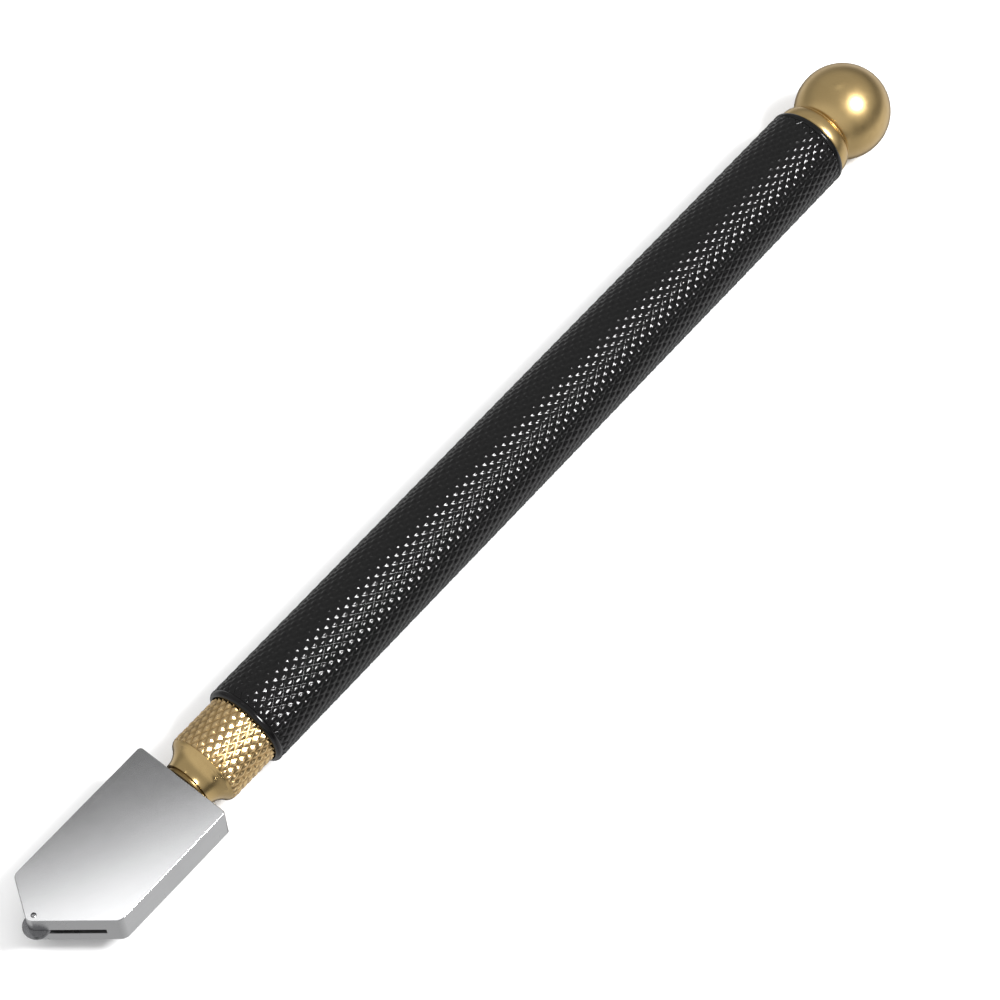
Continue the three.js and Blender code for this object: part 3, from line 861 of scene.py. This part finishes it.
class CUTTER_OT_wheel(bpy.types.Operator):
    """Builds the cutting wheel and its axle"""

    bl_idname = "cutter.wheel"
    bl_label = "Wheel and Axle"

    def execute(self, context):
        half = (WHEEL_HIGH.z - WHEEL_LOW.z) / 2
        radius = (WHEEL_HIGH.x - WHEEL_LOW.x) / 2
        edge = half / math.tan(math.radians(70))  # height of the ground edge, 140 degrees across
        bore, chamfer = 0.42 * MM, 0.02 * MM
        profile = [(-half, bore), (-half, radius - edge - chamfer), (-half + chamfer, radius - edge),
                   (0, radius), (half - chamfer, radius - edge), (half, radius - edge - chamfer),
                   (half, bore)]
        wheel = turned("wheel_carbide", profile, steps=96, axis=tuple(WHEEL_CENTRE), break_edges=0)
        finished(wheel, "cutting_wheel", "wheel", ground_carbide())
        pin_half = (AXLE_HIGH.z - AXLE_LOW.z) / 2
        pin = 0.36 * MM
        profile = [(-pin_half, 0), (-pin_half, pin * 0.35), (-pin_half + 0.05 * MM, pin * 0.8),
                   (-pin_half + 0.13 * MM, pin), (pin_half - 0.13 * MM, pin),
                   (pin_half - 0.05 * MM, pin * 0.8), (pin_half, pin * 0.35), (pin_half, 0)]
        middle = (AXLE_LOW + AXLE_HIGH) / 2
        axle = turned("axle_pin", profile, steps=48, axis=tuple(middle), break_edges=0, closed=False)
        finished(axle, "wheel_axle", "head", drawn_steel())
        return {"FINISHED"}


class CUTTER_OT_stem(bpy.types.Operator):
    """Builds the brass stem, whose neck shows between the nose and the head"""

    bl_idname = "cutter.stem"
    bl_label = "Stem"

    def execute(self, context):
        top = (HEAD_TOP - BARREL_X) / MM
        foot, neck_foot, neck_top = top - 5.9, top + 0.05, top + 1.05
        shoulder, clip_start, clip_end, tip, duct_end = -0.2, 0.57, 1.12, 2.0, -2.6
        duct, thread, relief, neck, shank, tail, clip_seat = 0.5, 2.2, 2.0, 3.35, 1.9, 1.3, 0.9  # radii
        profile = [along(foot, duct), along(foot, thread - 0.3), along(foot + 0.3, thread),
                   along(top - 0.5, thread), along(top - 0.4, relief), along(neck_foot, relief),
                   along(neck_foot, neck - 0.15), along(neck_foot + 0.13, neck), along(neck_top, neck),
                   along(neck_top, shank), along(shoulder, shank), along(shoulder, tail),
                   along(clip_start, tail), along(clip_start, clip_seat), along(clip_end, clip_seat),
                   along(clip_end, tail), along(tip - 0.3, tail), along(tip, tail - 0.3), along(tip, 0.0),
                   along(duct_end, 0.0), along(duct_end, duct)]
        piece = turned("stem_turned", profile, steps=96)
        finished(piece, "head_stem", "head", oiled_brass())
        return {"FINISHED"}


class CUTTER_OT_collar(bpy.types.Operator):
    """Builds the brass bush whose collar closes the barrel's far end"""

    bl_idname = "cutter.collar"
    bl_label = "Collar"

    def execute(self, context):
        base = BARREL_LENGTH / MM + 0.025
        top = (BUSH_HIGH.x - BARREL_X) / MM
        foot = BARREL_RADIUS / MM - 0.55
        taper, bulge = 0.25, 0.2
        rim = foot - taper
        bore, plug, plug_length, seal_depth = 3.06, 4.92, 9, 0.7
        recess = BALL_FOOT / MM - 0.1
        bead, waist = 0.16, 0.09
        band = top - bead - base
        swell = []
        for i in range(25):
            t = i / 24
            curve = math.sqrt(max(0.0, 1 - (2 * t - 1) ** 2))
            swell.append(along(base + band * t, foot - (taper + waist) * t ** 2 + bulge * curve))
        end = base - plug_length
        profile = [along(end, bore), along(end, plug - 0.17), along(end + 0.2, plug), along(base, plug)]
        profile += swell
        profile += arc(top - bead / 2, rim - bead / 2, bead / 2, 150, 0, 8)
        profile += [along(top - 0.03, recess), along(top - seal_depth, recess),
                    along(top - seal_depth, bore + 0.25), along(top - seal_depth - 0.25, bore)]
        piece = turned("collar_bush", profile, steps=160, break_edges=0)
        finished(piece, "end_bush", "handle", polished_brass())
        return {"FINISHED"}


class CUTTER_OT_cap(bpy.types.Operator):
    """Builds the ball cap with its threaded shank"""

    bl_idname = "cutter.cap"
    bl_label = "Ball Cap"

    def execute(self, context):
        size = context.scene.cutter_sizes
        ball = BALL_RADIUS / MM
        centre = (CAP_HIGH.x - BARREL_X) / MM - ball
        seat_radius = BALL_FOOT / MM
        seat = centre - math.sqrt(ball ** 2 - seat_radius ** 2)
        start = 180 - math.degrees(math.asin(seat_radius / ball))
        shank, shank_length, relief = 3.0, 7.0, 0.9
        root = shank - size.thread_depth / MM
        end = seat - shank_length
        profile = [along(end, 0), along(end, root - 0.3), along(end + 0.3, root), along(seat - relief, root),
                   along(seat - relief, root - 0.2), along(seat, root - 0.2)]
        profile += arc(centre, 0, ball, start, 0, 64)
        piece = turned("cap_ball", profile, steps=160, closed=False, break_edges=0.06 * MM)
        ridge = thread_ridge("cap_thread", BARREL_X + (end + 0.1) * MM, BARREL_X + (seat - relief) * MM,
                             root * MM, shank * MM, size.thread_pitch)
        cut_with(piece, ridge, "UNION")
        smooth(piece, 30)
        finished(piece, "ball_cap", "cap", polished_brass())
        return {"FINISHED"}


class CUTTER_OT_spring(bpy.types.Operator):
    """Builds the valve's return spring, which shortens as the head is pressed in"""

    bl_idname = "cutter.spring"
    bl_label = "Return Spring"

    def execute(self, context):
        size = context.scene.cutter_sizes
        wire = size.spring_wire / 2
        radius = (SPRING_HIGH.z - SPRING_LOW.z) / 2 - wire
        whole = SPRING_HIGH.x - SPRING_LOW.x
        clear_selection()
        bpy.ops.mesh.primitive_circle_add(
            vertices=16, radius=wire, fill_type="NOTHING",
            location=(radius, 0, SPRING_LOW.x + wire), rotation=(math.pi / 2, 0, 0),
        )
        piece = screwed(settle(named("spring_coil")), size.spring_turns, whole - 2 * wire)
        smooth(piece, 60)
        finished(piece, "return_spring", "nose", drawn_steel())
        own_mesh(piece)
        return {"FINISHED"}


class CUTTER_OT_inner_pieces(bpy.types.Operator):
    """Gives the pieces inside the handle their finishes"""

    bl_idname = "cutter.inner_pieces"
    bl_label = "Inner Pieces"

    def execute(self, context):
        finishes = {
            "thread_bush": turned_brass, "spring_retainer": turned_brass, "cap_seal": seal_rubber,
            "ferrule_seal": seal_rubber, "stem_seal": seal_rubber, "valve_seal": seal_rubber,
            "valve_washer": drawn_steel, "stem_clip": drawn_steel,
            "oil_wick": twisted_cotton,
        }
        for node, finish in finishes.items():
            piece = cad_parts[node]
            piece.data.materials.clear()
            piece.data.materials.append(finish())
        return {"FINISHED"}


# ---- Stage ---------------------------------------------------------------------------------------

# Brightness of the room by direction: above, at the horizon, below, in front, and in two dark patches
ROOM_ABOVE = 0.50
ROOM_HORIZON = 0.34
ROOM_HORIZON_DARK = 0.15
ROOM_DARK_SIDE = (0.64, -0.77, 0)
ROOM_BELOW_LEFT = 0.50
ROOM_BELOW_RIGHT = 0.95
ROOM_FRONT = 0.80
ROOM_GAP = (-0.81, -0.575, -0.12)
ROOM_GAP_DARK = 0.08
ROOM_BEHIND = (0.371, 0.355, -0.857)
ROOM_BEHIND_DARK = 0.08

# The white card that the head's upper face mirrors: its two directions, its edges and its brightness
CARD_ACROSS = (0.840, -0.530, -0.144)
CARD_DOWN = (-0.403, -0.774, 0.495)
CARD_EDGE = (0.039, 0.071)
CARD_NEAR = (-0.14, -0.05)
CARD_FAR = (0.15, 0.10)
CARD_CENTRE = -0.125
CARD_SIDES = (0.13, 0.075)
CARD_DARK = 0.24
CARD_WHITE = 2.3


def look_matrix(azimuth, elevation, roll, target, distance):
    """A camera's or a lamp's place, looking at the target. Azimuth 0 looks along +Y."""
    turn, lift = math.radians(azimuth), math.radians(elevation)
    ahead = Vector((-math.sin(turn) * math.cos(lift), math.cos(turn) * math.cos(lift), -math.sin(lift)))
    facing = ahead.to_track_quat("-Z", "Y").to_matrix().to_4x4()
    place = Matrix.Translation(Vector(target) - ahead * distance)
    return place @ facing @ Matrix.Rotation(math.radians(roll), 4, "Z")


def soft_lamp(name, azimuth, elevation, distance, width, height, power, target=(0, 0, AXIS_Z)):
    data = bpy.data.lights.new(name, "AREA")
    data.shape = "RECTANGLE"
    data.size, data.size_y, data.energy = width, height, power
    lamp = bpy.data.objects.new(name, data)
    lamp.matrix_world = look_matrix(azimuth, elevation, 0, target, distance)
    bpy.context.scene.collection.objects.link(lamp)
    return lamp


def rising(tree, value, start, full):
    """A smooth step from 0 at start to 1 at full."""
    step = add_node(tree, "ShaderNodeMapRange", interpolation_type="SMOOTHSTEP",
                    From_Min=start, From_Max=full)
    tree.links.new(value, step.inputs["Value"])
    return step.outputs["Result"]


def towards(tree, direction, vector):
    dot = add_node(tree, "ShaderNodeVectorMath", operation="DOT_PRODUCT")
    tree.links.new(direction, dot.inputs[0])
    dot.inputs[1].default_value = vector
    return dot.outputs["Value"]


def blend_levels(tree, mask, first, second):
    """first where the mask is 0, second where it is 1."""
    node = tree.nodes.new("ShaderNodeMix")
    tree.links.new(mask, node.inputs["Factor"])
    for socket, value in ((node.inputs[2], first), (node.inputs[3], second)):
        if isinstance(value, bpy.types.NodeSocket):
            tree.links.new(value, socket)
        else:
            socket.default_value = value
    return node.outputs[0]


def studio_world():
    """A soft grey room, bright in front and below, with two dark patches and a white card for the head."""
    world = bpy.data.worlds.new("Studio")
    world.use_nodes = True
    bpy.context.scene.world = world
    tree = world.node_tree
    background = tree.nodes["Background"]
    direction = tree.nodes.new("ShaderNodeTexCoord").outputs["Generated"]
    height = towards(tree, direction, (0, 0, 1))
    depth = towards(tree, direction, (0, 0, -1))
    side = rising(tree, towards(tree, direction, (1, 0, 0)), -0.6, 0.6)
    dark = rising(tree, towards(tree, direction, ROOM_DARK_SIDE), -0.5, 0.6)
    horizon = maths(tree, "MULTIPLY_ADD", dark, ROOM_HORIZON_DARK - ROOM_HORIZON, ROOM_HORIZON)
    below = maths(tree, "MULTIPLY_ADD", side, ROOM_BELOW_RIGHT - ROOM_BELOW_LEFT, ROOM_BELOW_LEFT)
    level = blend_levels(tree, rising(tree, height, 0.05, 0.45), horizon, ROOM_ABOVE)
    level = blend_levels(tree, rising(tree, depth, 0.05, 0.35), level, below)
    front = rising(tree, towards(tree, direction, (-1, 0, 0)), 0.4, 0.75)
    level = blend_levels(tree, front, level, ROOM_FRONT)
    gap = rising(tree, towards(tree, direction, ROOM_GAP), 0.955, 0.985)
    level = blend_levels(tree, gap, level, ROOM_GAP_DARK)
    behind = rising(tree, towards(tree, direction, ROOM_BEHIND), 0.80, 0.92)
    level = blend_levels(tree, behind, level, ROOM_BEHIND_DARK)
    across = towards(tree, direction, CARD_ACROSS)
    down = towards(tree, direction, CARD_DOWN)
    off_centre = maths(tree, "ABSOLUTE", maths(tree, "SUBTRACT", across, CARD_CENTRE))
    inside = maths(tree, "MULTIPLY", rising(tree, down, *CARD_FAR), rising(tree, down, *CARD_NEAR))
    inside = maths(tree, "MULTIPLY", inside, rising(tree, off_centre, *CARD_SIDES))
    inside = maths(tree, "MULTIPLY", inside, rising(tree, height, 0.3, 0.5))
    card = blend_levels(tree, rising(tree, down, *CARD_EDGE), CARD_DARK, CARD_WHITE)
    level = blend_levels(tree, inside, level, card)
    tree.links.new(level, background.inputs["Strength"])
    background.inputs["Color"].default_value = (1, 1, 1, 1)


class CUTTER_OT_stage(bpy.types.Operator):
    """Adds the floor, the soft light and the camera"""

    bl_idname = "cutter.stage"
    bl_label = "Stage"

    def execute(self, context):
        look = context.scene.cutter_finishes
        clear_selection()
        bpy.ops.mesh.primitive_plane_add(size=6, location=(0, 0, 0))
        floor = named("floor")
        material, _, bsdf, _ = new_material("Floor", look.floor, Roughness=0.7)
        bsdf.inputs["Base Color"].default_value = (*look.floor, 1)
        floor.data.materials.append(material)
        floor.visible_glossy = False
        studio_world()
        soft_lamp("Key", azimuth=23.5, elevation=53.3, distance=0.7, width=0.18, height=0.18, power=5.6)
        fill = soft_lamp("Fill", azimuth=0, elevation=88, distance=1.2, width=1.6, height=1.6, power=12.0)
        fill.visible_glossy = False
        data = bpy.data.cameras.new("Camera")
        data.sensor_width = 36
        data.lens = 137.43
        data.clip_start, data.clip_end = 0.01, 20
        camera = bpy.data.objects.new("Camera", data)
        camera.matrix_world = look_matrix(azimuth=-46.26, elevation=59.05, roll=-4.15,
                                          target=(-0.0001, -0.0037, AXIS_Z), distance=0.5186)
        context.scene.collection.objects.link(camera)
        context.scene.camera = camera
        context.scene.view_settings.view_transform = "Standard"
        return {"FINISHED"}


# ---- Add-on --------------------------------------------------------------------------------------

PIECES = (
    CUTTER_OT_barrel, CUTTER_OT_ferrule, CUTTER_OT_head, CUTTER_OT_wheel, CUTTER_OT_stem,
    CUTTER_OT_collar, CUTTER_OT_cap, CUTTER_OT_spring, CUTTER_OT_inner_pieces, CUTTER_OT_stage,
)


class CUTTER_PT_pieces(bpy.types.Panel):
    """Lists the cutter's pieces, sizes and finishes"""

    bl_idname = "CUTTER_PT_pieces"
    bl_label = "Glass Cutter"
    bl_space_type = "VIEW_3D"
    bl_region_type = "UI"
    bl_category = "Cutter"

    def draw(self, context):
        for piece in PIECES:
            self.layout.operator(piece.bl_idname)
        for group in (context.scene.cutter_sizes, context.scene.cutter_finishes):
            box = self.layout.box()
            for key in group.__annotations__:
                box.prop(group, key)


CLASSES = (CutterSizes, CutterFinishes, *PIECES, CUTTER_PT_pieces)


def register():
    for cls in CLASSES:
        bpy.utils.register_class(cls)
    bpy.types.Scene.cutter_sizes = PointerProperty(type=CutterSizes)
    bpy.types.Scene.cutter_finishes = PointerProperty(type=CutterFinishes)


def unregister():
    del bpy.types.Scene.cutter_finishes
    del bpy.types.Scene.cutter_sizes
    for cls in reversed(CLASSES):
        bpy.utils.unregister_class(cls)


def main():
    register()
    for piece in PIECES:
        group, name = piece.bl_idname.split(".")
        getattr(getattr(bpy.ops, group), name)()


if __name__ == "__main__":
    main()
